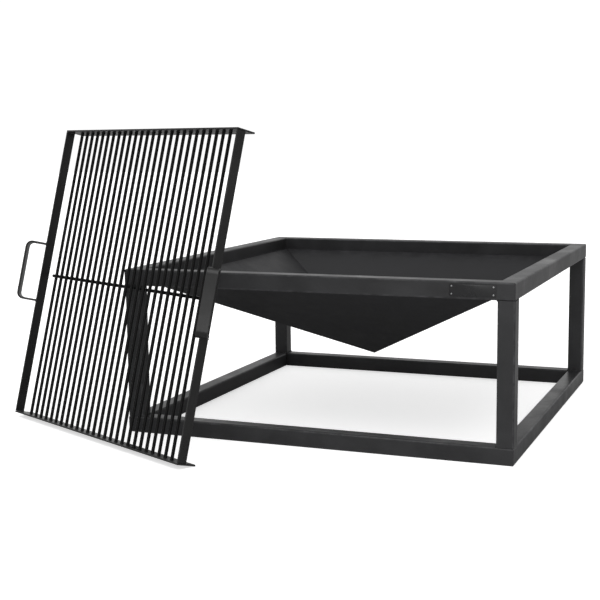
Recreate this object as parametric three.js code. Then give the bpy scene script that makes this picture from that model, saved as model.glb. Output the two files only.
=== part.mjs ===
// Square garden fire pit with its cooking grate leaning against one corner.
//
// Millimetres, +Z up. The pit is a cube frame of square steel tube with a bowl of four
// sloping panels hung inside its top frame. The grate is a flat frame of steel strip
// filled with round rods. It stands on the ground and leans on the pit's front left corner.
// +X runs to the right along the pit's front, +Y runs away from the front.
// The origin is on the ground, under the middle of the whole object.

import * as THREE from "three";
import { ConvexGeometry } from "three/addons/geometries/ConvexGeometry.js";

// Pit frame
const PIT_WIDTH = 720;
const PIT_HEIGHT = 304;
const TUBE = 30;
const TUBE_WALL = 2;
const TUBE_CORNER = 3;
const TUBE_CORNER_STEPS = 3;
const WELD_GAP = 0.3;

// Bowl
const BOWL_SHEET = 3;
const BOWL_RIM_LAP = 4;
const BOWL_APEX_HEIGHT = 107;

// Nameplate on the front of the top frame
const PLATE_WIDTH = 78;
const PLATE_HEIGHT = 21;
const PLATE_SHEET = 1;
const PLATE_CORNER = 2;
const PLATE_CENTRE_X = 289;
const RIVET_RADIUS = 1.6;
const RIVET_RISE = 1.1;
const RIVET_INSET_X = 4;
const RIVET_INSET_Z = 4;

// Grate: x across, y from its front face to its back, z up along the rods
const GRATE_WIDTH = 540;
const GRATE_LENGTH = 566;
const STRIP = 3;
const SIDE_STRIP_DEPTH = 18;
const END_STRIP_DEPTH = 38;
const ROD_RADIUS = 3;
const ROD_SIDES = 16;
const ROD_COUNT = 26;
const ROD_PITCH = 18.7;
const CROSS_ROD_HEIGHT = 277;
const CROSS_ROD_START = 14;
const CROSS_ROD_END = 497;

// Lifting handles on the grate's two side strips
const LEFT_HANDLE_HEIGHT = 280;
const RIGHT_HANDLE_HEIGHT = 270;
const HANDLE_LENGTH = 117;
const HANDLE_REACH = 45;
const HANDLE_STRIP_WIDTH = 20;
const HANDLE_STRIP = 4;
const HANDLE_BEND = 13;
const HANDLE_BEND_STEPS = 5;
const HANDLE_TILT = THREE.MathUtils.degToRad(46);

// Pose of the leaning grate
const GRATE_TURN = THREE.MathUtils.degToRad(26.2);
const GRATE_LEAN = THREE.MathUtils.degToRad(14.4);
const CONTACT_ROD = 12;

const pitPaint = { color: 0x3b3b3d, roughness: 0.5, metalness: 0.6 };
const bowlPaint = { color: 0x3d3e40, roughness: 0.55, metalness: 0.6 };
const plateMetal = { color: 0x45474a, roughness: 0.4, metalness: 0.8 };
const grateSteel = { color: 0x38393b, roughness: 0.45, metalness: 0.7 };

function piece(name, geometry, look) {
  const mesh = new THREE.Mesh(geometry, new THREE.MeshStandardMaterial(look));
  mesh.name = name;
  return mesh;
}

// A rectangle centred on the origin with rounded corners, as a Shape or a hole Path.
function roundedSquare(outline, width, height, radius) {
  const x = width / 2 - radius;
  const y = height / 2 - radius;
  outline.moveTo(x, -height / 2);
  outline.absarc(x, -y, radius, -Math.PI / 2, 0, false);
  outline.absarc(x, y, radius, 0, Math.PI / 2, false);
  outline.absarc(-x, y, radius, Math.PI / 2, Math.PI, false);
  outline.absarc(-x, -y, radius, Math.PI, 1.5 * Math.PI, false);
  outline.closePath();
  return outline;
}

// Open-ended square tube along +Z from z = 0.
function tubeGeometry(length) {
  const section = roundedSquare(new THREE.Shape(), TUBE, TUBE, TUBE_CORNER);
  const bore = TUBE - 2 * TUBE_WALL;
  const boreCorner = TUBE_CORNER - TUBE_WALL;
  section.holes.push(roundedSquare(new THREE.Path(), bore, bore, boreCorner));
  return new THREE.ExtrudeGeometry(section, {
    depth: length,
    curveSegments: TUBE_CORNER_STEPS,
    bevelEnabled: false,
  });
}

// Tube along X with both ends cut at 45 degrees. Its long face looks along -Y.
function mitredRailGeometry() {
  const geometry = tubeGeometry(PIT_WIDTH);
  geometry.translate(0, 0, -PIT_WIDTH / 2);
  geometry.applyMatrix4(new THREE.Matrix4().makeBasis(
    new THREE.Vector3(0, 1, 0),
    new THREE.Vector3(0, 0, 1),
    new THREE.Vector3(1, 0, 0),
  ));
  const setBack = WELD_GAP / Math.SQRT2;
  const points = geometry.attributes.position;
  for (let i = 0; i < points.count; i += 1) {
    const fromLongFace = points.getY(i) + TUBE / 2;
    const halfLength = PIT_WIDTH / 2 - setBack - fromLongFace;
    points.setX(i, Math.sign(points.getX(i)) * halfLength);
  }
  geometry.computeVertexNormals();
  return geometry;
}

// One triangular side of the bowl. It slopes down from the frame at -Y to the middle.
function bowlPanelGeometry() {
  const rimHeight = PIT_HEIGHT - TUBE + BOWL_RIM_LAP;
  const rimReach = PIT_WIDTH / 2 - TUBE - WELD_GAP;
  const rise = (rimHeight - BOWL_APEX_HEIGHT) / rimReach;
  const sheetUpright = BOWL_SHEET * Math.hypot(1, rise);
  const setBack = WELD_GAP / Math.SQRT2;
  const corners = [];
  for (const lift of [0, sheetUpright]) {
    const reach = rimReach - lift / rise;
    corners.push(new THREE.Vector3(-reach + setBack, -reach, rimHeight));
    corners.push(new THREE.Vector3(reach - setBack, -reach, rimHeight));
    corners.push(new THREE.Vector3(0, -setBack, BOWL_APEX_HEIGHT + lift + rise * setBack));
  }
  return new ConvexGeometry(corners);
}

function plateGeometry() {
  const outline = roundedSquare(new THREE.Shape(), PLATE_WIDTH, PLATE_HEIGHT, PLATE_CORNER);
  const geometry = new THREE.ExtrudeGeometry(outline, {
    depth: PLATE_SHEET,
    curveSegments: TUBE_CORNER_STEPS,
    bevelEnabled: false,
  });
  return geometry.rotateX(Math.PI / 2);
}

// Low domed head that rises along -Y from y = 0.
function rivetGeometry() {
  const steps = 4;
  const profile = [new THREE.Vector2(0, 0)];
  for (let i = 0; i < steps; i += 1) {
    const turn = (i / steps) * (Math.PI / 2);
    profile.push(new THREE.Vector2(RIVET_RADIUS * Math.cos(turn), RIVET_RISE * Math.sin(turn)));
  }
  profile.push(new THREE.Vector2(0, RIVET_RISE));
  return new THREE.LatheGeometry(profile, 12).rotateX(Math.PI);
}

function buildPit() {
  const pit = new THREE.Group();
  const centreLine = PIT_WIDTH / 2 - TUBE / 2;
  const legLength = PIT_HEIGHT - 2 * TUBE - 2 * WELD_GAP;
  const sides = [
    { side: "front", corner: "front_left" },
    { side: "right", corner: "front_right" },
    { side: "back", corner: "back_right" },
    { side: "left", corner: "back_left" },
  ];
  sides.forEach(({ side, corner }, quarter) => {
    const group = new THREE.Group();
    group.rotation.z = quarter * (Math.PI / 2);
    const bottomRail = piece(`${side}_bottom_rail`, mitredRailGeometry(), pitPaint);
    bottomRail.position.set(0, -centreLine, TUBE / 2);
    const topRail = piece(`${side}_top_rail`, mitredRailGeometry(), pitPaint);
    topRail.position.set(0, -centreLine, PIT_HEIGHT - TUBE / 2);
    const leg = piece(`${corner}_leg`, tubeGeometry(legLength), pitPaint);
    leg.position.set(-centreLine, -centreLine, TUBE + WELD_GAP);
    group.add(bottomRail, topRail, leg, piece(`${side}_bowl_panel`, bowlPanelGeometry(), bowlPaint));
    pit.add(group);
  });
  return pit;
}

function buildNameplate() {
  const nameplate = new THREE.Group();
  nameplate.position.set(PLATE_CENTRE_X, -PIT_WIDTH / 2 - WELD_GAP, PIT_HEIGHT - TUBE / 2);
  nameplate.add(piece("nameplate", plateGeometry(), plateMetal));
  for (const [end, x] of [["left", -1], ["right", 1]]) {
    for (const [level, z] of [["lower", -1], ["upper", 1]]) {
      const rivet = piece(`nameplate_rivet_${level}_${end}`, rivetGeometry(), plateMetal);
      rivet.position.set(
        x * (PLATE_WIDTH / 2 - RIVET_INSET_X),
        -PLATE_SHEET - WELD_GAP,
        z * (PLATE_HEIGHT / 2 - RIVET_INSET_Z),
      );
      nameplate.add(rivet);
    }
  }
  return nameplate;
}

function box(x0, x1, y0, y1, z0, z1) {
  const geometry = new THREE.BoxGeometry(x1 - x0, y1 - y0, z1 - z0);
  return geometry.translate((x0 + x1) / 2, (y0 + y1) / 2, (z0 + z1) / 2);
}

function rodX(index) {
  const first = (GRATE_WIDTH - (ROD_COUNT - 1) * ROD_PITCH) / 2;
  return first + index * ROD_PITCH;
}

// Outline of the U-shaped strip: x stands out from the grate, y runs along its side.
function handleOutline() {
  const half = HANDLE_LENGTH / 2;
  const inside = HANDLE_BEND - HANDLE_STRIP;
  const elbow = HANDLE_REACH - HANDLE_BEND;
  const outline = new THREE.Shape();
  outline.moveTo(0, -half);
  outline.absarc(elbow, -half + HANDLE_BEND, HANDLE_BEND, -Math.PI / 2, 0, false);
  outline.absarc(elbow, half - HANDLE_BEND, HANDLE_BEND, 0, Math.PI / 2, false);
  outline.lineTo(0, half);
  outline.lineTo(0, half - HANDLE_STRIP);
  outline.absarc(elbow, half - HANDLE_BEND, inside, Math.PI / 2, 0, true);
  outline.absarc(elbow, -half + HANDLE_BEND, inside, 0, -Math.PI / 2, true);
  outline.lineTo(0, -half + HANDLE_STRIP);
  outline.closePath();
  return outline;
}

// A handle for the right side strip. The loop tilts towards the grate's front. The ends of
// its strip are cut on a slant to meet the flat of the side strip, and trimmed to its depth.
function handleGeometry() {
  const geometry = new THREE.ExtrudeGeometry(handleOutline(), {
    depth: HANDLE_STRIP_WIDTH,
    curveSegments: HANDLE_BEND_STEPS,
    bevelEnabled: false,
  });
  geometry.translate(0, 0, -HANDLE_STRIP_WIDTH / 2);
  const footShare = (SIDE_STRIP_DEPTH * Math.cos(HANDLE_TILT)) / HANDLE_STRIP_WIDTH;
  const points = geometry.attributes.position;
  for (let i = 0; i < points.count; i += 1) {
    if (points.getX(i) < HANDLE_STRIP) {
      const z = points.getZ(i) * footShare;
      points.setX(i, WELD_GAP / Math.cos(HANDLE_TILT) + z * Math.tan(HANDLE_TILT));
      points.setZ(i, z);
    }
  }
  geometry.rotateX(Math.PI / 2);
  geometry.rotateZ(-HANDLE_TILT);
  geometry.computeVertexNormals();
  return geometry;
}

function mirroredX(geometry) {
  const points = geometry.attributes.position;
  for (let i = 0; i < points.count; i += 3) {
    const first = new THREE.Vector3().fromBufferAttribute(points, i);
    const last = new THREE.Vector3().fromBufferAttribute(points, i + 2);
    points.setXYZ(i, -last.x, last.y, last.z);
    points.setX(i + 1, -points.getX(i + 1));
    points.setXYZ(i + 2, -first.x, first.y, first.z);
  }
  geometry.computeVertexNormals();
  return geometry;
}

function buildGrate() {
  const grate = new THREE.Group();
  const endInside = STRIP + WELD_GAP;
  const rodLength = GRATE_LENGTH - 2 * endInside;
  const rodBack = SIDE_STRIP_DEPTH;

  grate.add(piece("grate_bottom_strip",
    box(0, GRATE_WIDTH, 0, END_STRIP_DEPTH, 0, STRIP), grateSteel));
  grate.add(piece("grate_top_strip",
    box(0, GRATE_WIDTH, 0, END_STRIP_DEPTH, GRATE_LENGTH - STRIP, GRATE_LENGTH), grateSteel));
  for (const [side, x] of [["left", 0], ["right", GRATE_WIDTH - STRIP]]) {
    grate.add(piece(`grate_${side}_strip`,
      box(x, x + STRIP, 0, SIDE_STRIP_DEPTH, endInside, GRATE_LENGTH - endInside), grateSteel));
  }

  for (let i = 0; i < ROD_COUNT; i += 1) {
    const rod = new THREE.CylinderGeometry(ROD_RADIUS, ROD_RADIUS, rodLength, ROD_SIDES);
    rod.rotateX(Math.PI / 2);
    const mesh = piece(`grate_rod_${String(i + 1).padStart(2, "0")}`, rod, grateSteel);
    mesh.position.set(rodX(i), rodBack - ROD_RADIUS, GRATE_LENGTH / 2);
    grate.add(mesh);
  }

  const crossLength = CROSS_ROD_END - CROSS_ROD_START;
  const cross = new THREE.CylinderGeometry(ROD_RADIUS, ROD_RADIUS, crossLength, ROD_SIDES);
  cross.rotateZ(Math.PI / 2);
  const crossRod = piece("grate_cross_rod", cross, grateSteel);
  crossRod.position.set(
    (CROSS_ROD_START + CROSS_ROD_END) / 2,
    rodBack + WELD_GAP + ROD_RADIUS,
    CROSS_ROD_HEIGHT,
  );
  grate.add(crossRod);

  const rightHandle = piece("grate_right_handle", handleGeometry(), grateSteel);
  rightHandle.position.set(GRATE_WIDTH, SIDE_STRIP_DEPTH / 2, RIGHT_HANDLE_HEIGHT);
  const leftHandle = piece("grate_left_handle", mirroredX(handleGeometry()), grateSteel);
  leftHandle.position.set(0, SIDE_STRIP_DEPTH / 2, LEFT_HANDLE_HEIGHT);
  grate.add(rightHandle, leftHandle);
  return grate;
}

// Stand the grate on the back edge of its bottom strip and lean one rod on the pit's
// front left corner, just under the rounded top edge of the frame.
function leanGrate(grate) {
  const cornerHeight = PIT_HEIGHT - TUBE_CORNER;
  const contactY = SIDE_STRIP_DEPTH + WELD_GAP;
  const standingRise = (END_STRIP_DEPTH - contactY) * Math.sin(GRATE_LEAN);
  const contactZ = (cornerHeight - standingRise) / Math.cos(GRATE_LEAN);
  grate.rotation.set(-GRATE_LEAN, 0, -GRATE_TURN, "ZXY");
  const reach = new THREE.Vector3(rodX(CONTACT_ROD), contactY, contactZ);
  reach.applyEuler(grate.rotation);
  grate.position.set(-PIT_WIDTH / 2, -PIT_WIDTH / 2, cornerHeight).sub(reach);
}

const grate = buildGrate();
leanGrate(grate);

const assembly = new THREE.Group();
assembly.add(buildPit(), buildNameplate(), grate);

const extent = new THREE.Box3().setFromObject(assembly, true);
const middle = extent.getCenter(new THREE.Vector3());
assembly.position.set(-middle.x, -middle.y, -extent.min.z);

const firePit = new THREE.Group();
firePit.add(assembly);

export default firePit;
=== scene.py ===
# %% [markdown]
# # A square garden fire pit with its cooking grate
# The real object is welded from bought steel: square tube for the frame, sheet for the bowl,
# flat strip and round rod for the grate. This lesson keeps the measured frame that the CAD
# model gives, and rebuilds every bar around it with the rounded arrises, weld beads and satin
# black paint that make cut steel look like steel.

# %% Load the fixed frame
import math

import bmesh
import bpy
from mathutils import Matrix, Vector


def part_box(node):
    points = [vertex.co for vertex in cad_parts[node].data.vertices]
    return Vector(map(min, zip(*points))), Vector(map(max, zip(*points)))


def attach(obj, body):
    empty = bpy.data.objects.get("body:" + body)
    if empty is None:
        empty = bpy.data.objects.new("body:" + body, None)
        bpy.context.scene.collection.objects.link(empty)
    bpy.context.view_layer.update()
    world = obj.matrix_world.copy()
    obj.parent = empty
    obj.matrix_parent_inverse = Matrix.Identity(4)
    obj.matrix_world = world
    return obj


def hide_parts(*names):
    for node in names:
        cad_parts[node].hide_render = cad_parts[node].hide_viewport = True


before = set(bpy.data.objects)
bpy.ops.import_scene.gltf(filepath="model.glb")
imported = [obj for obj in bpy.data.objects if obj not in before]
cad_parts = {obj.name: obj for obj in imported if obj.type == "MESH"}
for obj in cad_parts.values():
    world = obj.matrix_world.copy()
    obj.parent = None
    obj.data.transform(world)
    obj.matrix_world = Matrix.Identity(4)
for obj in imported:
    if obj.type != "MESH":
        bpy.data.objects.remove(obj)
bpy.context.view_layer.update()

# %% [markdown]
# ## Where things are
# The pit stands square to the axes, so the boxes of its rails give its centre and sizes. The
# grate leans and is turned, so its own three directions are read from its pieces: across it
# from the first rod to the last, up it from the bottom strip to the top strip, and the third
# at right angles to both.

# %% Measure the pit
SIDES = ("front", "right", "back", "left")
POSTS = ("front_left", "front_right", "back_right", "back_left")


def box_of(*nodes):
    lows, highs = zip(*(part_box(node) for node in nodes))
    low = Vector(min(corner[axis] for corner in lows) for axis in range(3))
    high = Vector(max(corner[axis] for corner in highs) for axis in range(3))
    return low, high


rim_low, rim_high = box_of(*(f"{side}_top_rail" for side in SIDES))
TUBE = rim_high.z - rim_low.z
PIT_WIDTH = rim_high.x - rim_low.x
PIT_HEIGHT = rim_high.z
PIT_CENTRE = Vector(((rim_low.x + rim_high.x) / 2, (rim_low.y + rim_high.y) / 2, 0))
MM = 0.001
print(f"pit {PIT_WIDTH / MM:.0f} mm wide, {PIT_HEIGHT / MM:.0f} mm high,",
      f"tube {TUBE / MM:.0f} mm")

# %% Find the grate's own directions


def middle_of(node):
    low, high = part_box(node)
    return (low + high) / 2


def extent_along(node, direction):
    reach = [vertex.co.dot(direction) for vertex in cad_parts[node].data.vertices]
    return min(reach), max(reach)


RODS = sorted(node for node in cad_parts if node.startswith("grate_rod_"))
across = (middle_of(RODS[-1]) - middle_of(RODS[0])).normalized()
upward = (middle_of("grate_top_strip") - middle_of("grate_bottom_strip")).normalized()
backward = upward.cross(across).normalized()
grate_corner = sum(
    (extent_along("grate_bottom_strip", way)[0] * way for way in (across, backward, upward)),
    Vector(),
)
grate_axes = Matrix((across, backward, upward)).transposed()
GRATE = Matrix.Translation(grate_corner) @ grate_axes.to_4x4()


def grate_box(node):
    """The lowest and highest corners of a node in the grate's own directions."""
    spans = [extent_along(node, way) for way in (across, backward, upward)]
    start = [grate_corner.dot(way) for way in (across, backward, upward)]
    low = Vector(span[0] - s for span, s in zip(spans, start))
    high = Vector(span[1] - s for span, s in zip(spans, start))
    return low, high


GRATE_LENGTH = grate_box("grate_top_strip")[1].z
GRATE_WIDTH = grate_box("grate_top_strip")[1].x
print(f"grate {GRATE_WIDTH / MM:.0f} x {GRATE_LENGTH / MM:.0f} mm, {len(RODS)} rods")

# %% [markdown]
# ## Camera
# The camera stands in front of the pit and to its right, a little over two metres off and at
# table height, with a short telephoto lens. It looks slightly down and hangs a fraction of a
# degree out of level, as a hand-held one does.

# %% Place the camera
CAMERA_OFFSET = Vector((0.762, -2.273, 0.545))
CAMERA_TURN = math.radians(22.09)
CAMERA_DOWN = math.radians(7.83)
CAMERA_ROLL = math.radians(-0.66)
LENS_MM = 72.45

camera_data = bpy.data.cameras.new("camera")
camera_data.lens = LENS_MM
camera_data.sensor_width = 36
camera = bpy.data.objects.new("camera", camera_data)
camera.matrix_world = (
    Matrix.Translation(PIT_CENTRE + CAMERA_OFFSET)
    @ Matrix.Rotation(CAMERA_TURN, 4, "Z")
    @ Matrix.Rotation(math.pi / 2 - CAMERA_DOWN, 4, "X")
    @ Matrix.Rotation(CAMERA_ROLL, 4, "Z")
)
bpy.context.scene.collection.objects.link(camera)
bpy.context.scene.camera = camera
print("camera at", [round(c, 3) for c in camera.matrix_world.translation])

# %% [markdown]
# ## Paint
# Everything is coated with heat-resistant black paint. Such paint dries satin, with a fine
# orange-peel skin over the mill texture of the steel. It varies a little in tone from place to
# place, and it thins on arrises, where handling polishes it and grey steel starts to show. That
# lighter grey on the arrises is also a painted highlight. Three node groups carry these
# effects, so that each finish can mix its own amounts of them.

# %% A small helper for node trees


def add_node(tree, kind, inputs=None, **settings):
    node = tree.nodes.new(kind)
    for key, value in settings.items():
        setattr(node, key, value)
    for key, value in (inputs or {}).items():
        if isinstance(value, bpy.types.NodeSocket):
            tree.links.new(value, node.inputs[key])
        else:
            node.inputs[key].default_value = value
    return node


def new_group(name, inputs, outputs, kind="ShaderNodeTree"):
    group = bpy.data.node_groups.new(name, kind)
    for label, socket_type, default in inputs:
        socket = group.interface.new_socket(label, in_out="INPUT", socket_type=socket_type)
        if default is not None:
            socket.default_value = default
    for label, socket_type in outputs:
        group.interface.new_socket(label, in_out="OUTPUT", socket_type=socket_type)
    return group, group.nodes.new("NodeGroupInput"), group.nodes.new("NodeGroupOutput")


# %% Paint skin: height of the orange peel and of the mill texture under it


def build_paint_skin():
    group, given, result = new_group(
        "paint_skin",
        [
            ("Peel Size", "NodeSocketFloat", 0.0016),
            ("Peel Height", "NodeSocketFloat", 1.0),
            ("Mill Height", "NodeSocketFloat", 1.0),
        ],
        [("Height", "NodeSocketFloat")],
    )
    place = add_node(group, "ShaderNodeTexCoord")
    density = add_node(group, "ShaderNodeMath", {0: 1.0, 1: given.outputs["Peel Size"]},
                       operation="DIVIDE")
    peel = add_node(group, "ShaderNodeTexNoise", {
        "Vector": place.outputs["Object"], "Scale": density.outputs[0], "Detail": 2.0})
    mill = add_node(group, "ShaderNodeTexNoise", {
        "Vector": place.outputs["Object"], "Scale": 55.0, "Detail": 6.0, "Roughness": 0.65})
    fine = add_node(group, "ShaderNodeMath", {
        0: peel.outputs["Fac"], 1: given.outputs["Peel Height"]}, operation="MULTIPLY")
    broad = add_node(group, "ShaderNodeMath", {
        0: mill.outputs["Fac"], 1: given.outputs["Mill Height"], 2: fine.outputs[0]},
        operation="MULTIPLY_ADD")
    group.links.new(broad.outputs[0], result.inputs["Height"])
    return group


paint_skin = build_paint_skin()
print("group", paint_skin.name)

# %% Tone drift: slow blotches and fine speckle between two tones


def build_tone_drift():
    group, given, result = new_group(
        "tone_drift",
        [
            ("Dark", "NodeSocketColor", (0.02, 0.02, 0.02, 1)),
            ("Light", "NodeSocketColor", (0.04, 0.04, 0.04, 1)),
            ("Blotch Size", "NodeSocketFloat", 0.09),
            ("Speckle", "NodeSocketFloat", 0.35),
        ],
        [("Color", "NodeSocketColor"), ("Drift", "NodeSocketFloat")],
    )
    place = add_node(group, "ShaderNodeTexCoord")
    density = add_node(group, "ShaderNodeMath", {0: 1.0, 1: given.outputs["Blotch Size"]},
                       operation="DIVIDE")
    blotch = add_node(group, "ShaderNodeTexNoise", {
        "Vector": place.outputs["Object"], "Scale": density.outputs[0],
        "Detail": 5.0, "Roughness": 0.6, "Distortion": 0.4})
    speckle = add_node(group, "ShaderNodeTexNoise", {
        "Vector": place.outputs["Object"], "Scale": 900.0, "Detail": 2.0})
    centred = add_node(group, "ShaderNodeMath", {0: speckle.outputs["Fac"], 1: 0.5},
                       operation="SUBTRACT")
    mixed = add_node(group, "ShaderNodeMath", {
        0: centred.outputs[0], 1: given.outputs["Speckle"], 2: blotch.outputs["Fac"]},
        operation="MULTIPLY_ADD")
    spread = add_node(group, "ShaderNodeMapRange", {
        "Value": mixed.outputs[0], "From Min": 0.32, "From Max": 0.68})
    tones = add_node(group, "ShaderNodeMix", {
        0: spread.outputs[0], 6: given.outputs["Dark"], 7: given.outputs["Light"]},
        data_type="RGBA")
    group.links.new(tones.outputs[2], result.inputs["Color"])
    group.links.new(spread.outputs[0], result.inputs["Drift"])
    return group


tone_drift = build_tone_drift()
print("group", tone_drift.name)

# %% Arris wear and painted highlight: a broken mask that follows the arrises of each bar


def build_arris_wear_and_highlight():
    group, given, result = new_group(
        "arris_wear_and_highlight",
        [("Amount", "NodeSocketFloat", 0.5), ("Patch Size", "NodeSocketFloat", 0.02)],
        [("Mask", "NodeSocketFloat")],
    )
    place = add_node(group, "ShaderNodeTexCoord")
    arris = add_node(group, "ShaderNodeAttribute", attribute_name="edge_wear_and_highlight")
    density = add_node(group, "ShaderNodeMath", {0: 1.0, 1: given.outputs["Patch Size"]},
                       operation="DIVIDE")
    patches = add_node(group, "ShaderNodeTexNoise", {
        "Vector": place.outputs["Object"], "Scale": density.outputs[0],
        "Detail": 8.0, "Roughness": 0.7})
    broken = add_node(group, "ShaderNodeMapRange", {
        "Value": patches.outputs["Fac"], "From Min": 0.42, "From Max": 0.66})
    on_arris = add_node(group, "ShaderNodeMath", {
        0: arris.outputs["Fac"], 1: broken.outputs[0]}, operation="MULTIPLY")
    scaled = add_node(group, "ShaderNodeMath", {
        0: on_arris.outputs[0], 1: given.outputs["Amount"]},
        operation="MULTIPLY", use_clamp=True)
    group.links.new(scaled.outputs[0], result.inputs["Mask"])
    return group


arris_wear_and_highlight = build_arris_wear_and_highlight()
print("group", arris_wear_and_highlight.name)

# %% [markdown]
# A finish is then one Principled shader. Tone drift colours it and moves its roughness a
# little, the paint skin bumps it, and where a finish is polished at all, its arrises turn
# towards bare grey steel, a lighter grey that is also a painted highlight.

# %% Finishes
# bare steel on worn arrises; this lighter grey is also a painted highlight
BARE_STEEL_AND_HIGHLIGHT = (0.24, 0.24, 0.25, 1)
POLISHED_METAL = 0.8      # how metallic a fully polished arris is
SMOOTHER = 0.08           # how far the drift lowers the roughness
ROUGHER = 0.12            # and how far it raises it
SKIN_STRENGTH = 0.22
SKIN_DISTANCE = 0.0004


def satin_finish(name, dark, light, rough, wear_and_highlight_amount=0.0, peel_height=1.0, gloss=0.3, metal=0.0):
    """Two tones, and how much bare steel the arrises show as wear and painted highlight. metal
    is for unpainted pieces.
    """
    material = bpy.data.materials.new(name)
    material.use_nodes = True
    tree = material.node_tree
    shader = tree.nodes["Principled BSDF"]
    shader.inputs["Specular IOR Level"].default_value = gloss
    shader.inputs["Metallic"].default_value = metal
    tones = add_node(tree, "ShaderNodeGroup", node_tree=tone_drift)
    tones.inputs["Dark"].default_value = (*dark, 1)
    tones.inputs["Light"].default_value = (*light, 1)
    colour = tones.outputs["Color"]
    # worn arrises turn lighter grey and metallic; the lighter grey is also a painted highlight
    if wear_and_highlight_amount:
        arris = add_node(tree, "ShaderNodeGroup", node_tree=arris_wear_and_highlight)
        arris.inputs["Amount"].default_value = wear_and_highlight_amount
        worn_and_highlit = add_node(tree, "ShaderNodeMix", {
            0: arris.outputs["Mask"], 6: colour, 7: BARE_STEEL_AND_HIGHLIGHT}, data_type="RGBA")
        colour = worn_and_highlit.outputs[2]
        bared = add_node(tree, "ShaderNodeMath", {0: arris.outputs["Mask"], 1: POLISHED_METAL},
                         operation="MULTIPLY")
        tree.links.new(bared.outputs[0], shader.inputs["Metallic"])
    satin = add_node(tree, "ShaderNodeMapRange", {
        "Value": tones.outputs["Drift"], "To Min": rough - SMOOTHER, "To Max": rough + ROUGHER})
    skin = add_node(tree, "ShaderNodeGroup", node_tree=paint_skin)
    skin.inputs["Peel Height"].default_value = peel_height
    bump = add_node(tree, "ShaderNodeBump", {
        "Height": skin.outputs["Height"], "Strength": SKIN_STRENGTH,
        "Distance": SKIN_DISTANCE})
    tree.links.new(colour, shader.inputs["Base Color"])
    tree.links.new(satin.outputs[0], shader.inputs["Roughness"])
    tree.links.new(bump.outputs[0], shader.inputs["Normal"])
    return material


frame_paint = satin_finish(
    "frame_paint", (0.024, 0.024, 0.025), (0.037, 0.037, 0.039), 0.38, 0.20, gloss=0.34)
bowl_paint = satin_finish(
    "bowl_paint", (0.018, 0.018, 0.019), (0.029, 0.029, 0.031), 0.50, 0.10, gloss=0.16)
grate_paint = satin_finish(
    "grate_paint", (0.009, 0.009, 0.009), (0.016, 0.016, 0.016), 0.30, 0.18, gloss=0.42)
rod_paint = satin_finish(
    "rod_paint", (0.002, 0.002, 0.002), (0.005, 0.005, 0.005), 0.28, gloss=0.16)
weld_paint = satin_finish(
    "weld_paint", (0.012, 0.012, 0.013), (0.022, 0.022, 0.023), 0.30,
    peel_height=0.5, gloss=0.42)
plate_paint = satin_finish(
    "plate_paint", (0.018, 0.018, 0.019), (0.023, 0.023, 0.024), 0.30, gloss=0.42)
rivet_steel = satin_finish(
    "rivet_steel", (0.36, 0.36, 0.37), (0.52, 0.52, 0.53), 0.34, metal=0.9)
print("finishes:", [m.name for m in bpy.data.materials if m.name.endswith(("paint", "steel"))])

# %% [markdown]
# ## Bars by lofting
# Tube, strip and rod are all one section carried along a path. A loft does that: it puts the
# same ring of points at each station and joins ring to ring. It gives exact mitres and bends,
# which a bevel on a box would not. Each ring also carries a wear value, 1 on an arris and 0 on
# the flats beside it, and the paint reads that as a vertex attribute for arris wear, which is
# also a painted highlight.

# %% Section of a bar with rounded arrises
WEAR_AND_HIGHLIGHT_AT_TURN = 0.35       # wear and painted highlight where a flat turns into the round arris

def bar_section(width, depth, radius, steps, margin):
    """Points (x, y) anticlockwise round the section, and the wear and painted-highlight value
    of each.
    """
    points, wear_and_highlight = [], []
    for quarter, (x_side, y_side) in enumerate(((1, -1), (1, 1), (-1, 1), (-1, -1))):
        centre = Vector((x_side * (width / 2 - radius), y_side * (depth / 2 - radius)))
        start = math.radians(90 * quarter - 90)
        ends = []
        arc = []
        for step in range(steps + 1):
            turn = start + math.pi / 2 * step / steps
            arc.append(centre + radius * Vector((math.cos(turn), math.sin(turn))))
            if step in (0, steps):
                tangent = Vector((-math.sin(turn), math.cos(turn)))
                ends.append(arc[-1] + tangent * (-margin if step == 0 else margin))
        points += [ends[0], *arc, ends[1]]
        wear_and_highlight += [0.0, WEAR_AND_HIGHLIGHT_AT_TURN, *[1.0] * (steps - 1), WEAR_AND_HIGHLIGHT_AT_TURN, 0.0]
    return points, wear_and_highlight


# %% Loft rings into a closed piece
SHARP_ON_BARS = math.radians(32)      # faces that meet more steeply keep a crisp edge

def finish_mesh(name, bm, material, place):
    bmesh.ops.recalc_face_normals(bm, faces=bm.faces)
    mesh = bpy.data.meshes.new(name)
    bm.to_mesh(mesh)
    bm.free()
    mesh.transform(place)
    mesh.materials.append(material)
    mesh.shade_smooth()
    mesh.set_sharp_from_angle(angle=SHARP_ON_BARS)
    piece = bpy.data.objects.new(name, mesh)
    bpy.context.scene.collection.objects.link(piece)
    return piece


def add_rings(bm, rings, wear_and_highlight):
    # per-vertex weight for arris wear and painted highlight
    layer = bm.verts.layers.float.get("edge_wear_and_highlight") or bm.verts.layers.float.new("edge_wear_and_highlight")
    made = []
    for ring in rings:
        verts = [bm.verts.new(point) for point in ring]
        for vert, value in zip(verts, wear_and_highlight):
            vert[layer] = value
        made.append(verts)
    for ring, following in zip(made, made[1:]):
        for i in range(len(ring)):
            j = (i + 1) % len(ring)
            bm.faces.new((ring[i], ring[j], following[j], following[i]))
    return made


def solid_bar(name, rings, wear_and_highlight, material, place=Matrix.Identity(4)):
    bm = bmesh.new()
    made = add_rings(bm, rings, wear_and_highlight)
    bm.faces.new(made[0])
    bm.faces.new(made[-1])
    return finish_mesh(name, bm, material, place)


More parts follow.
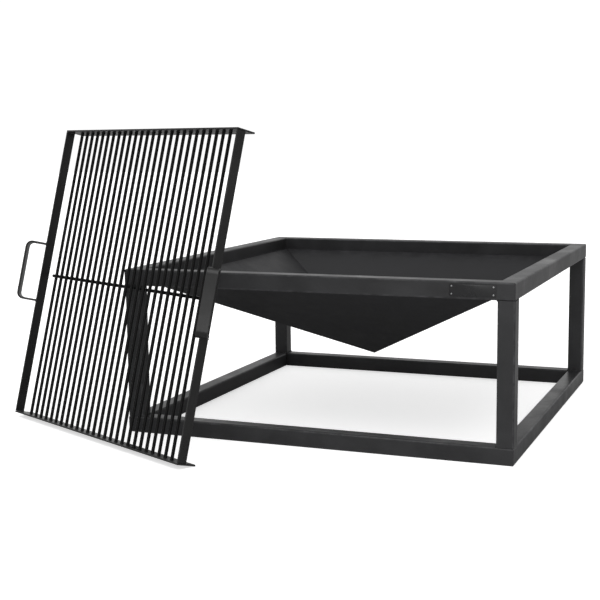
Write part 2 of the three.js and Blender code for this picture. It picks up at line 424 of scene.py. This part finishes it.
def hollow_bar(name, outer_rings, inner_rings, wear_and_highlight, material, place=Matrix.Identity(4)):
    bm = bmesh.new()
    outer = add_rings(bm, outer_rings, wear_and_highlight)
    inner = add_rings(bm, inner_rings, [0.0] * len(wear_and_highlight))
    for end in (0, -1):
        for i in range(len(wear_and_highlight)):
            j = (i + 1) % len(wear_and_highlight)
            bm.faces.new((outer[end][i], outer[end][j], inner[end][j], inner[end][i]))
    return finish_mesh(name, bm, material, place)


# %% [markdown]
# ## Frame of square tube
# Square tube is rolled from strip, so its corners are round on the outside, with a radius of
# about one and a half walls. The rails are mitred and ground flush, so no gap shows at the
# corners. The posts stand between the two square rings.

# %% Tube frame
TUBE_WALL = 2 * MM
TUBE_RADIUS = 3 * MM
TUBE_BORE = TUBE - 2 * TUBE_WALL
TUBE_MARGIN = 0.8 * MM    # the wear and painted highlight fade out over this much of each flat
ARC_STEPS = 6
tube_points, tube_wear_and_highlight = bar_section(TUBE, TUBE, TUBE_RADIUS, ARC_STEPS, TUBE_MARGIN)
bore_points, _ = bar_section(TUBE_BORE, TUBE_BORE, TUBE_RADIUS - TUBE_WALL, ARC_STEPS,
                             TUBE_MARGIN)
CENTRE_LINE = PIT_WIDTH / 2 - TUBE / 2


def side_place(quarter):
    """From a side's own directions, with that side at -Y, to the pit's place."""
    return Matrix.Translation(PIT_CENTRE) @ Matrix.Rotation(quarter * math.pi / 2, 4, "Z")


def mitred_rings(section, height):
    return [[Vector((end * (CENTRE_LINE - p.x), p.x - CENTRE_LINE, height + p.y))
             for p in section] for end in (-1, 1)]


def post_rings(section):
    return [[Vector((p.x - CENTRE_LINE, p.y - CENTRE_LINE, height)) for p in section]
            for height in (TUBE, PIT_HEIGHT - TUBE)]


def make_tube(name, node, rings_of, quarter):
    tube = hollow_bar(name, rings_of(tube_points), rings_of(bore_points), tube_wear_and_highlight,
                      frame_paint, side_place(quarter))
    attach(tube, "pit")
    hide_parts(node)
    return tube


tubes = []
for quarter, (side, post) in enumerate(zip(SIDES, POSTS)):
    for level, height in (("bottom", TUBE / 2), ("top", PIT_HEIGHT - TUBE / 2)):
        tubes.append(make_tube(f"{side}_{level}_tube", f"{side}_{level}_rail",
                               lambda section, h=height: mitred_rings(section, h), quarter))
    tubes.append(make_tube(f"{post}_post", f"{post}_leg", post_rings, quarter))
print(len(tubes), "tubes, faces each:", len(tubes[0].data.polygons))

# %% [markdown]
# ## Bowl
# The bowl is four triangles of sheet, welded into an upside-down pyramid that hangs from the
# lower inside edge of the top frame. Each panel is a thin wedge with its long edges cut on the
# diagonal, so its neighbours close the corner. The top arris of the sheet's rim gets wear,
# which is also a painted highlight.

# %% Bowl panels
SHEET = 3 * MM
FIT_GAP = 0.3 * MM        # pieces that are welded together keep this much apart
PANEL_ROWS = 12
PANEL_TIP = 0.25 * MM     # half the width of a panel's blunt lower end
# weight of wear and painted highlight on the top arris of the bowl's rim
RIM_WEAR_AND_HIGHLIGHT = 0.7
panel_low, panel_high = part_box("front_bowl_panel")
RIM_HEIGHT = panel_high.z
APEX_HEIGHT = panel_low.z
RIM_REACH = PIT_WIDTH / 2 - TUBE - FIT_GAP
RISE = (RIM_HEIGHT - APEX_HEIGHT) / RIM_REACH
SHEET_UPRIGHT = SHEET * math.hypot(1, RISE)      # the sheet's thickness measured upright


def panel_row(reach, lift, cells):
    """Points across a panel at one distance from the bowl's middle, left to right."""
    left, right = Vector((-reach, -reach, 0)), Vector((reach, -reach, 0))
    for column in range(cells + 1):
        point = left.lerp(right, column / cells)
        yield point.x, point.y, APEX_HEIGHT + lift + RISE * reach


def make_panel(side, quarter):
    bm = bmesh.new()
    layer = bm.verts.layers.float.new("edge_wear_and_highlight")
    grids = []
    for lift in (0.0, SHEET_UPRIGHT):
        top = RIM_REACH - lift / RISE
        grid = []
        for row in range(PANEL_ROWS + 1):
            reach = PANEL_TIP + (top - PANEL_TIP) * row / PANEL_ROWS
            grid.append([bm.verts.new(point) for point in panel_row(reach, lift, row + 1)])
        for near, far in zip(grid, grid[1:]):
            for i in range(len(near)):
                bm.faces.new((near[i], far[i], far[i + 1]))
                if i + 1 < len(near):
                    bm.faces.new((near[i], far[i + 1], near[i + 1]))
        grids.append(grid)
    under, over = grids
    # the rim's top arris gets wear and a painted highlight
    for vert in over[-1]:
        vert[layer] = RIM_WEAR_AND_HIGHLIGHT
    lower, upper = [
        [line[0] for line in grid] + grid[-1][1:] + [line[-1] for line in reversed(grid[:-1])]
        for grid in (under, over)]
    for i in range(len(lower)):
        j = (i + 1) % len(lower)
        bm.faces.new((lower[i], lower[j], upper[j], upper[i]))
    panel = finish_mesh(f"{side}_bowl_sheet", bm, bowl_paint, side_place(quarter))
    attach(panel, "pit")
    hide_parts(f"{side}_bowl_panel")
    return panel


panels = [make_panel(side, quarter) for quarter, side in enumerate(SIDES)]
print("bowl", len(panels), "panels, rim at", round(RIM_HEIGHT / MM), "mm, apex at",
      round(APEX_HEIGHT / MM), "mm")

# %% [markdown]
# ## Welds
# A weld bead is a row of small frozen ripples, each overlapping the last. Geometry Nodes lay
# them: the path is cut at an even pitch, and a flattened ball of slightly random size, turned
# along the path, goes on every cut. One tree serves every seam, with its own width and seed.

# %% Weld bead tree


def build_weld_tree():
    tree, given, result = new_group(
        "weld_bead",
        [
            ("Path", "NodeSocketGeometry", None),
            ("Pitch", "NodeSocketFloat", 0.0013),
            ("Radius", "NodeSocketFloat", 0.0018),
            ("Seed", "NodeSocketInt", 1),
            ("Finish", "NodeSocketMaterial", None),
        ],
        [("Geometry", "NodeSocketGeometry")],
        kind="GeometryNodeTree",
    )
    line = add_node(tree, "GeometryNodeMeshToCurve", {"Mesh": given.outputs["Path"]})
    cuts = add_node(tree, "GeometryNodeResampleCurve", {
        "Curve": line.outputs["Curve"], "Length": given.outputs["Pitch"]}, mode="LENGTH")
    ripple = add_node(tree, "GeometryNodeMeshUVSphere", {
        "Segments": 8, "Rings": 6, "Radius": given.outputs["Radius"]})
    tangent = add_node(tree, "GeometryNodeInputTangent")
    facing = add_node(tree, "FunctionNodeAlignRotationToVector", {
        "Vector": tangent.outputs["Tangent"]}, axis="Z")
    size = add_node(tree, "FunctionNodeRandomValue", {
        "Min": (0.86, 0.86, 0.6), "Max": (1.12, 1.12, 0.8), "Seed": given.outputs["Seed"]},
        data_type="FLOAT_VECTOR")
    laid = add_node(tree, "GeometryNodeInstanceOnPoints", {
        "Points": cuts.outputs["Curve"], "Instance": ripple.outputs["Mesh"],
        "Rotation": facing.outputs["Rotation"], "Scale": size.outputs[0]})
    real = add_node(tree, "GeometryNodeRealizeInstances", {"Geometry": laid.outputs[0]})
    smooth = add_node(tree, "GeometryNodeSetShadeSmooth", {"Geometry": real.outputs[0]})
    coated = add_node(tree, "GeometryNodeSetMaterial", {
        "Geometry": smooth.outputs[0], "Material": given.outputs["Finish"]})
    tree.links.new(coated.outputs[0], result.inputs["Geometry"])
    return tree


weld_tree = build_weld_tree()
print("tree", weld_tree.name)

# %% Run a tree and keep the plain mesh
SHARP_ON_BEADS = math.radians(50)

def run_tree(name, tree, start_mesh, material, body, slot, **sizes):
    carrier = bpy.data.objects.new(name + "_carrier", start_mesh)
    bpy.context.scene.collection.objects.link(carrier)
    modifier = carrier.modifiers.new("make", "NODES")
    modifier.node_group = tree
    for item in tree.interface.items_tree:
        if item.in_out == "INPUT" and item.name in sizes:
            modifier[item.identifier] = sizes[item.name]
        if item.in_out == "INPUT" and item.name == "Finish":
            modifier[item.identifier] = material
    evaluated = carrier.evaluated_get(bpy.context.evaluated_depsgraph_get())
    mesh = bpy.data.meshes.new_from_object(evaluated)
    bpy.data.objects.remove(carrier)
    mesh.name = name
    mesh.set_sharp_from_angle(angle=SHARP_ON_BEADS)
    piece = bpy.data.objects.new(name, mesh)
    bpy.context.scene.collection.objects.link(piece)
    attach(piece, body)
    return piece


def path_mesh(lines, place=Matrix.Identity(4)):
    mesh = bpy.data.meshes.new("path")
    points, edges = [], []
    for line in lines:
        first = len(points)
        points += [place @ Vector(point) for point in line]
        edges += [(first + i, first + i + 1) for i in range(len(line) - 1)]
    mesh.from_pydata(points, edges, [])
    return mesh


# %% Beads on the pit
POST_BEAD = 1.9 * MM
POST_BEAD_PITCH = 1.3 * MM
POST_BEAD_INSET = 2.2 * MM
BOWL_BEAD = 1.1 * MM
BOWL_BEAD_PITCH = 1.2 * MM
half_tube = TUBE / 2


def post_lines():
    """A bead round the two inner faces of each post, at its foot and under the top ring."""
    lines = []
    for quarter in range(4):
        place = side_place(quarter)
        for height in (TUBE, PIT_HEIGHT - TUBE):
            corner = [(half_tube, -half_tube + POST_BEAD_INSET), (half_tube, half_tube),
                      (-half_tube + POST_BEAD_INSET, half_tube)]
            lines.append([place @ Vector((x - CENTRE_LINE, y - CENTRE_LINE, height))
                          for x, y in corner])
    return lines


def bowl_lines():
    """A thin bead along the bowl's rim and one down each inside corner."""
    inner = RIM_REACH - SHEET_UPRIGHT / RISE
    lines = []
    for quarter in range(4):
        place = side_place(quarter)
        rim = [(-RIM_REACH, -RIM_REACH, RIM_HEIGHT), (RIM_REACH, -RIM_REACH, RIM_HEIGHT)]
        crease = [(0, 0, APEX_HEIGHT + SHEET_UPRIGHT), (-inner, -inner, RIM_HEIGHT)]
        lines += [[place @ Vector(p) for p in rim], [place @ Vector(p) for p in crease]]
    return lines


post_beads = run_tree("post_welds", weld_tree, path_mesh(post_lines()), weld_paint, "pit",
                      "frame_paint", Pitch=POST_BEAD_PITCH, Radius=POST_BEAD, Seed=3)
bowl_beads = run_tree("bowl_welds", weld_tree, path_mesh(bowl_lines()), bowl_paint, "pit",
                      "bowl_paint", Pitch=BOWL_BEAD_PITCH, Radius=BOWL_BEAD, Seed=8)
print("pit weld faces:", len(post_beads.data.polygons), len(bowl_beads.data.polygons))

# %% [markdown]
# ## Nameplate
# A blank plate sits near the right end of the front rail, held by four little rivets. The
# plate is a lofted bar lying on its back, so that its arris catches the light.

# %% Nameplate and rivets
plate_low, plate_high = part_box("nameplate")
plate_middle = (plate_low + plate_high) / 2
PLATE_WIDTH = plate_high.x - plate_low.x
PLATE_TALL = plate_high.z - plate_low.z
PLATE_CORNER = 2 * MM
PLATE_MARGIN = 1 * MM
PLATE_STATIONS = ((0, 0), (0, 0.65), (0.12, 0.88), (0.35, 1.0))    # (shrink, rise) in mm
RIVET_RADIUS = 1.6 * MM
RIVET_RISE = 1.1 * MM


def plate_rings():
    rings = []
    for shrink, rise in PLATE_STATIONS:
        points, _ = bar_section(PLATE_WIDTH - 2 * shrink * MM, PLATE_TALL - 2 * shrink * MM,
                                PLATE_CORNER - shrink * MM, ARC_STEPS, PLATE_MARGIN)
        rings.append([Vector((plate_middle.x + p.x, plate_high.y - rise * MM,
                              plate_middle.z + p.y)) for p in points])
    return rings


nameplate_rings = plate_rings()
nameplate = solid_bar("blank_nameplate", nameplate_rings, [1.0] * len(nameplate_rings[0]),
                      plate_paint)
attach(nameplate, "pit")
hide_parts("nameplate")


def build_rivet_tree():
    tree, given, result = new_group(
        "rivets",
        [
            ("Places", "NodeSocketGeometry", None),
            ("Radius", "NodeSocketFloat", 0.0016),
            ("Rise", "NodeSocketFloat", 0.0011),
            ("Finish", "NodeSocketMaterial", None),
        ],
        [("Geometry", "NodeSocketGeometry")],
        kind="GeometryNodeTree",
    )
    head = add_node(tree, "GeometryNodeMeshUVSphere", {
        "Segments": 16, "Rings": 10, "Radius": given.outputs["Radius"]})
    squash = add_node(tree, "ShaderNodeMath", {
        0: given.outputs["Rise"], 1: given.outputs["Radius"]}, operation="DIVIDE")
    scale = add_node(tree, "ShaderNodeCombineXYZ", {"X": 1.0, "Y": squash.outputs[0], "Z": 1.0})
    domed = add_node(tree, "GeometryNodeTransform", {
        "Geometry": head.outputs["Mesh"], "Scale": scale.outputs[0]})
    spots = add_node(tree, "GeometryNodeInstanceOnPoints", {
        "Points": given.outputs["Places"], "Instance": domed.outputs[0]})
    real = add_node(tree, "GeometryNodeRealizeInstances", {"Geometry": spots.outputs[0]})
    smooth = add_node(tree, "GeometryNodeSetShadeSmooth", {"Geometry": real.outputs[0]})
    coated = add_node(tree, "GeometryNodeSetMaterial", {
        "Geometry": smooth.outputs[0], "Material": given.outputs["Finish"]})
    tree.links.new(coated.outputs[0], result.inputs["Geometry"])
    return tree


RIVETS = sorted(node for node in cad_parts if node.startswith("nameplate_rivet"))
rivet_spots = bpy.data.meshes.new("rivet_spots")
rivet_spots.from_pydata(
    [(middle_of(node).x, plate_low.y, middle_of(node).z) for node in RIVETS], [], [])
rivets = run_tree("nameplate_rivets", build_rivet_tree(), rivet_spots, rivet_steel, "pit",
                  "rivet_metal", Radius=RIVET_RADIUS, Rise=RIVET_RISE)
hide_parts(*RIVETS)
print("nameplate with", len(RIVETS), "rivets")

# %% [markdown]
# ## Grate strips
# The grate's rim is four flat bars set on edge. Hot-rolled flat bar has small rounded arrises.
# The two ends are deeper than the sides, so they work as feet when the grate lies flat.

# %% Strips
STRIP_RADIUS = 0.55 * MM
STRIP_MARGIN = 0.5 * MM
STRIP_BEVEL = 0.4 * MM    # at the cut ends
STRIP_STEPS = 3


def make_strip(name, node, long_axis):
    """A flat bar that fills a node's box, lofted along one of the grate's directions."""
    low, high = grate_box(node)
    wide_axis, thin_axis = [axis for axis in (1, 0, 2) if axis != long_axis]
    size = high - low
    middle = (low + high) / 2
    points, wear_and_highlight = bar_section(size[wide_axis], size[thin_axis], STRIP_RADIUS, STRIP_STEPS,
                               STRIP_MARGIN)
    rings = []
    for end, inset, at in ((-1, STRIP_BEVEL, 0), (-1, 0, STRIP_BEVEL),
                           (1, 0, STRIP_BEVEL), (1, STRIP_BEVEL, 0)):
        ring = []
        for p in points:
            point = Vector(middle)
            share = Vector((p.x * (1 - 2 * inset / size[wide_axis]),
                            p.y * (1 - 2 * inset / size[thin_axis])))
            point[wide_axis] += share.x
            point[thin_axis] += share.y
            point[long_axis] += end * (size[long_axis] / 2 - at)
            ring.append(point)
        rings.append(ring)
    strip = solid_bar(name, rings, wear_and_highlight, grate_paint, GRATE)
    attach(strip, "grate")
    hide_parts(node)
    return strip


strips = [
    make_strip("grate_foot_bar", "grate_bottom_strip", 0),
    make_strip("grate_head_bar", "grate_top_strip", 0),
    make_strip("grate_left_bar", "grate_left_strip", 2),
    make_strip("grate_right_bar", "grate_right_strip", 2),
]
print("strips:", [strip.name for strip in strips])

# %% [markdown]
# ## Rods
# The rods are a plain row: same bar, same pitch. A Geometry Nodes row makes them all, and sets
# a weld collar on both ends of each, where it is welded to the end strips.

# %% Rod row tree


def build_rod_tree():
    tree, given, result = new_group(
        "rod_row",
        [
            ("Start", "NodeSocketGeometry", None),
            ("Count", "NodeSocketInt", 26),
            ("Pitch", "NodeSocketFloat", 0.0188),
            ("Radius", "NodeSocketFloat", 0.003),
            ("Length", "NodeSocketFloat", 0.55),
            ("Collar", "NodeSocketFloat", 0.0042),
            ("Seed", "NodeSocketInt", 5),
            ("Finish", "NodeSocketMaterial", None),
        ],
        [("Geometry", "NodeSocketGeometry")],
        kind="GeometryNodeTree",
    )
    step = add_node(tree, "ShaderNodeCombineXYZ", {"X": given.outputs["Pitch"]})
    row = add_node(tree, "GeometryNodeMeshLine", {
        "Count": given.outputs["Count"], "Offset": step.outputs[0]}, mode="OFFSET")
    bar = add_node(tree, "GeometryNodeMeshCylinder", {
        "Vertices": 20, "Side Segments": 6, "Radius": given.outputs["Radius"],
        "Depth": given.outputs["Length"]})
    smooth_bar = add_node(tree, "GeometryNodeSetShadeSmooth", {"Geometry": bar.outputs["Mesh"]})
    parts = [smooth_bar.outputs[0]]
    collar = add_node(tree, "GeometryNodeMeshUVSphere", {
        "Segments": 12, "Rings": 8, "Radius": given.outputs["Collar"]})
    flat = add_node(tree, "GeometryNodeTransform", {
        "Geometry": collar.outputs["Mesh"], "Scale": (1.0, 1.0, 0.62)})
    smooth_collar = add_node(tree, "GeometryNodeSetShadeSmooth", {"Geometry": flat.outputs[0]})
    for end in (-0.5, 0.5):
        height = add_node(tree, "ShaderNodeMath", {0: given.outputs["Length"], 1: end},
                          operation="MULTIPLY")
        shift = add_node(tree, "ShaderNodeCombineXYZ", {"Z": height.outputs[0]})
        size = add_node(tree, "FunctionNodeRandomValue", {
            "Min": (0.8, 0.85, 0.75), "Max": (1.15, 1.1, 1.2),
            "Seed": given.outputs["Seed"]}, data_type="FLOAT_VECTOR")
        moved = add_node(tree, "GeometryNodeSetPosition", {
            "Geometry": row.outputs["Mesh"], "Offset": shift.outputs[0]})
        beads = add_node(tree, "GeometryNodeInstanceOnPoints", {
            "Points": moved.outputs[0], "Instance": smooth_collar.outputs[0],
            "Scale": size.outputs[0]})
        parts.append(beads.outputs[0])
    bars = add_node(tree, "GeometryNodeInstanceOnPoints", {
        "Points": row.outputs["Mesh"], "Instance": parts[0]})
    joined = add_node(tree, "GeometryNodeJoinGeometry")
    for geometry in (bars.outputs[0], *parts[1:]):
        tree.links.new(geometry, joined.inputs[0])
    real = add_node(tree, "GeometryNodeRealizeInstances", {"Geometry": joined.outputs[0]})
    coated = add_node(tree, "GeometryNodeSetMaterial", {
        "Geometry": real.outputs[0], "Material": given.outputs["Finish"]})
    tree.links.new(coated.outputs[0], result.inputs["Geometry"])
    return tree


rod_low, rod_high = grate_box(RODS[0])
rod_middle = (rod_low + rod_high) / 2
ROD_RADIUS = (rod_high.x - rod_low.x) / 2
ROD_PITCH = (middle_of(RODS[-1]) - middle_of(RODS[0])).length / (len(RODS) - 1)
ROD_SIDES = 20
ROD_SINK = 0.4 * MM       # added to a rod's length, half at each end, to reach into the welds
COLLAR_RADIUS = 3.6 * MM
rod_row = run_tree("grate_rods", build_rod_tree(), bpy.data.meshes.new("empty"), rod_paint,
                   "grate", "rod_paint", Count=len(RODS), Pitch=ROD_PITCH, Radius=ROD_RADIUS,
                   Length=rod_high.z - rod_low.z + ROD_SINK, Collar=COLLAR_RADIUS, Seed=5)
rod_row.data.transform(GRATE @ Matrix.Translation(rod_middle))
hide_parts(*RODS)
print(len(RODS), "rods at a pitch of", round(ROD_PITCH / MM, 1), "mm:",
      len(rod_row.data.polygons), "faces")

# %% [markdown]
# One more rod crosses behind the row and ties it together. Its ends are cut off free, so they
# get a small chamfer. A tack of weld fixes it to every rod it crosses.

# %% Cross rod and its tacks
cross_low, cross_high = grate_box("grate_cross_rod")
cross_middle = (cross_low + cross_high) / 2
CROSS_CHAMFER = 0.5 * MM
TACK_RADIUS = 1.5 * MM
TACK_PITCH = 1.5 * MM
TACK_REACH = 1.6 * MM     # to each side of the rod's middle
TACK_RISE = 0.62          # above and below the cross rod's middle, as a share of its radius


def round_bar_rings(radius, start, end, chamfer, sides=ROD_SIDES):
    stations = ((start, radius - chamfer), (start + chamfer, radius),
                (end - chamfer, radius), (end, radius - chamfer))
    return [[Vector((x, cross_middle.y + r * math.cos(math.tau * i / sides),
                     cross_middle.z + r * math.sin(math.tau * i / sides)))
             for i in range(sides)] for x, r in stations]


cross_bar = solid_bar("grate_tie_rod",
                      round_bar_rings(ROD_RADIUS, cross_low.x, cross_high.x, CROSS_CHAMFER),
                      [0.0] * ROD_SIDES, rod_paint, GRATE)
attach(cross_bar, "grate")
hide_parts("grate_cross_rod")

tack_lines = []
for index in range(len(RODS)):
    x = rod_middle.x + index * ROD_PITCH
    if cross_low.x < x < cross_high.x:
        y = (rod_middle.y + cross_middle.y) / 2
        for side in (-1, 1):
            z = cross_middle.z + side * ROD_RADIUS * TACK_RISE
            tack_lines.append([(x - TACK_REACH, y, z), (x + TACK_REACH, y, z)])
tacks = run_tree("grate_tack_welds", weld_tree, path_mesh(tack_lines, GRATE), weld_paint,
                 "grate", "rod_paint", Pitch=TACK_PITCH, Radius=TACK_RADIUS, Seed=12)
print("tacks on", len(tack_lines) // 2, "rods")

# %% [markdown]
# ## Handles
# Each handle is a length of flat bar bent twice into a staple and welded to the outside of a
# side bar. The path is two straight legs, two quarter bends and the grip between them. The
# staple leans towards the grate's front, so the feet are cut on the slant to sit flat.

# %% Handle by loft
HANDLE_TILT = math.radians(46)
HANDLE_REACH = 45 * MM
HANDLE_BEND = 13 * MM
HANDLE_WIDE = 20 * MM
HANDLE_THICK = 4 * MM
HANDLE_RADIUS = 0.7 * MM
BAR_THICK = 3 * MM
BAR_WIDE = grate_box("grate_right_strip")[1].y
HANDLES = (("left", -1, 0.0), ("right", 1, GRATE_WIDTH))


def handle_span(side):
    """The heights of a handle's two ends along the grate."""
    low, high = grate_box(f"grate_{side}_handle")
    return low.z, high.z


def handle_path(half, steps=8):
    """(out, along, turn) of the bar's middle line, foot to foot. turn is the way it runs."""
    line_radius = HANDLE_BEND - HANDLE_THICK / 2
    elbow = HANDLE_REACH - HANDLE_BEND
    end = half - HANDLE_THICK / 2
    path = [(0.0, -end, 0.0)]
    for step in range(steps + 1):
        turn = math.pi / 2 * step / steps
        path.append((elbow + line_radius * math.sin(turn),
                     -end + line_radius * (1 - math.cos(turn)), turn))
    for step in range(steps + 1):
        turn = math.pi / 2 * (1 + step / steps)
        path.append((elbow + line_radius * math.sin(turn),
                     end - line_radius * (1 + math.cos(turn)), turn))
    return path + [(0.0, end, math.pi)]


def make_handle(side, outward_sign, edge):
    low, high = handle_span(side)
    points, wear_and_highlight = bar_section(HANDLE_WIDE, HANDLE_THICK, HANDLE_RADIUS, STRIP_STEPS,
                               STRIP_MARGIN)
    foot_share = BAR_WIDE * math.cos(HANDLE_TILT) / HANDLE_WIDE
    path = handle_path((high - low) / 2)
    rings = []
    for index, (out, along, turn) in enumerate(path):
        ring = []
        for p in points:
            sideways = p.x
            outward = out - p.y * math.sin(turn)
            if index in (0, len(path) - 1):
                sideways = p.x * foot_share
                outward = (FIT_GAP / math.cos(HANDLE_TILT)
                           + sideways * math.tan(HANDLE_TILT))
            x = outward * math.cos(HANDLE_TILT) - sideways * math.sin(HANDLE_TILT)
            y = -outward * math.sin(HANDLE_TILT) - sideways * math.cos(HANDLE_TILT)
            z = (low + high) / 2 + along + p.y * math.cos(turn)
            ring.append(Vector((edge + outward_sign * x, BAR_WIDE / 2 + y, z)))
        rings.append(ring)
    handle = solid_bar(f"grate_{side}_grip", rings, wear_and_highlight, grate_paint, GRATE)
    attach(handle, "grate")
    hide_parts(f"grate_{side}_handle")
    return handle


handles = [make_handle(*handle) for handle in HANDLES]
print("handles:", [[round(end / MM) for end in handle_span(side)] for side, _, _ in HANDLES])

# %% Beads on the grate
GRATE_BEAD = 1.8 * MM
GRATE_BEAD_PITCH = 1.3 * MM
BEAD_INSET = 1 * MM       # from a bar's arris to the end of a bead
CORNER_START = 2 * MM


def handle_lines():
    lines = []
    for side, _, edge in HANDLES:
        low, high = handle_span(side)
        for z in (low, low + HANDLE_THICK, high - HANDLE_THICK, high):
            lines.append([(edge, BEAD_INSET, z), (edge, BAR_WIDE - BEAD_INSET, z)])
    return lines


def corner_lines():
    """Fillets where the side bars meet the end bars, on the inner faces."""
    lines = []
    for x in (BAR_THICK, GRATE_WIDTH - BAR_THICK):
        for z in (BAR_THICK, GRATE_LENGTH - BAR_THICK):
            lines.append([(x, CORNER_START, z), (x, BAR_WIDE - BEAD_INSET, z)])
    return lines


grate_beads = run_tree("grate_welds", weld_tree,
                       path_mesh(handle_lines() + corner_lines(), GRATE), weld_paint,
                       "grate", "grate_paint", Pitch=GRATE_BEAD_PITCH, Radius=GRATE_BEAD,
                       Seed=21)
print("grate weld faces:", len(grate_beads.data.polygons))

# %% [markdown]
# ## Floor and light
# The floor is a pale sheet that glows a little, as a light table does, so that it stays pale
# under the bowl too. The world shows the camera an even white. In reflections both are
# dimmer, so that black paint stays black, and the dome is brightest high up, behind and to the
# left, which lights the tops of the bars. A wide sun overhead lights the floor evenly. One
# soft lamp on the right keeps the grate's side bar from going flat, and a low one in front
# reaches the bottom rails under the bowl.

# %% Floor
FLOOR = 14.0
FLOOR_DARK = (0.82, 0.82, 0.82, 1)
FLOOR_LIGHT = (0.86, 0.86, 0.86, 1)
FLOOR_IN_REFLECTIONS = (0.38, 0.38, 0.38, 1)
FLOOR_GLOW = 0.62         # as the camera sees it
FLOOR_GLOW_ON_PIECES = 0.03
floor_mesh = bpy.data.meshes.new("floor")
floor_mesh.from_pydata([(-FLOOR, -FLOOR, 0), (FLOOR, -FLOOR, 0), (FLOOR, FLOOR, 0),
                        (-FLOOR, FLOOR, 0)], [], [(0, 1, 2, 3)])
floor = bpy.data.objects.new("floor", floor_mesh)
bpy.context.scene.collection.objects.link(floor)
floor_paper = bpy.data.materials.new("floor_paper")
floor_paper.use_nodes = True
paper_tree = floor_paper.node_tree
paper = paper_tree.nodes["Principled BSDF"]
paper.inputs["Roughness"].default_value = 0.85
paper.inputs["Emission Color"].default_value = (1, 1, 1, 1)
paper_rays = add_node(paper_tree, "ShaderNodeLightPath")
paper_glow = add_node(paper_tree, "ShaderNodeMapRange", {
    "Value": paper_rays.outputs["Is Camera Ray"], "To Min": FLOOR_GLOW_ON_PIECES,
    "To Max": FLOOR_GLOW})
paper_tree.links.new(paper_glow.outputs["Result"], paper.inputs["Emission Strength"])
paper_place = add_node(paper_tree, "ShaderNodeTexCoord")
paper_cloud = add_node(paper_tree, "ShaderNodeTexNoise", {
    "Vector": paper_place.outputs["Object"], "Scale": 3.0, "Detail": 5.0})
paper_tone = add_node(paper_tree, "ShaderNodeMix", {
    0: paper_cloud.outputs["Fac"], 6: FLOOR_DARK, 7: FLOOR_LIGHT}, data_type="RGBA")
paper_seen = add_node(paper_tree, "ShaderNodeMix", {
    0: paper_rays.outputs["Is Glossy Ray"], 6: paper_tone.outputs[2],
    7: FLOOR_IN_REFLECTIONS}, data_type="RGBA")
paper_tree.links.new(paper_seen.outputs[2], paper.inputs["Base Color"])
floor_mesh.materials.append(floor_paper)
print("floor", 2 * FLOOR, "m across")

# %% Light
BRIGHT_SIDE = Vector((-0.45, 0.65, 0.6)).normalized()
DOME_DARK = 0.30
DOME_BRIGHT = 0.74
BACKDROP = 1.05           # as the camera sees it
world = bpy.data.worlds.new("studio")
world.use_nodes = True
sky = world.node_tree
direction = add_node(sky, "ShaderNodeTexCoord")
towards = add_node(sky, "ShaderNodeVectorMath", {
    0: direction.outputs["Generated"], 1: BRIGHT_SIDE}, operation="DOT_PRODUCT")
dome = add_node(sky, "ShaderNodeMapRange", {
    "Value": towards.outputs["Value"], "From Min": -0.5, "From Max": 0.8,
    "To Min": DOME_DARK, "To Max": DOME_BRIGHT})
seen_by = add_node(sky, "ShaderNodeLightPath")
glow = add_node(sky, "ShaderNodeMapRange", {
    "Value": seen_by.outputs["Is Camera Ray"], "To Min": dome.outputs["Result"],
    "To Max": BACKDROP})
sky.nodes["Background"].inputs["Color"].default_value = (1, 1, 1, 1)
sky.links.new(glow.outputs[0], sky.nodes["Background"].inputs["Strength"])
bpy.context.scene.world = world


def aimed(lamp, offset, aim):
    """Hang a lamp at an offset from the pit's middle, facing another offset."""
    start = PIT_CENTRE + Vector(offset)
    facing = (PIT_CENTRE + Vector(aim) - start).to_track_quat("-Z", "Y").to_matrix().to_4x4()
    lamp.matrix_world = Matrix.Translation(start) @ facing
    bpy.context.scene.collection.objects.link(lamp)
    return lamp


def soft_lamp(name, size, energy, offset, aim):
    lamp = bpy.data.lights.new(name, "AREA")
    lamp.shape = "SQUARE"
    lamp.size = size
    lamp.energy = energy
    return aimed(bpy.data.objects.new(name, lamp), offset, aim)


overhead = bpy.data.lights.new("overhead", "SUN")
overhead.energy = 1.1
overhead.angle = math.radians(50)
aimed(bpy.data.objects.new("overhead", overhead), (0.3, -1.1, 2.2), (0, 0, 0))
soft_lamp("right_fill", 1.4, 6, (2.2, -2.2, 1.3), (-0.4, -0.3, 0.3))
soft_lamp("front_fill", 1.0, 7, (0.4, -3.0, 0.45), (0, 0.2, 0.08))
bpy.context.scene.view_settings.view_transform = "Standard"
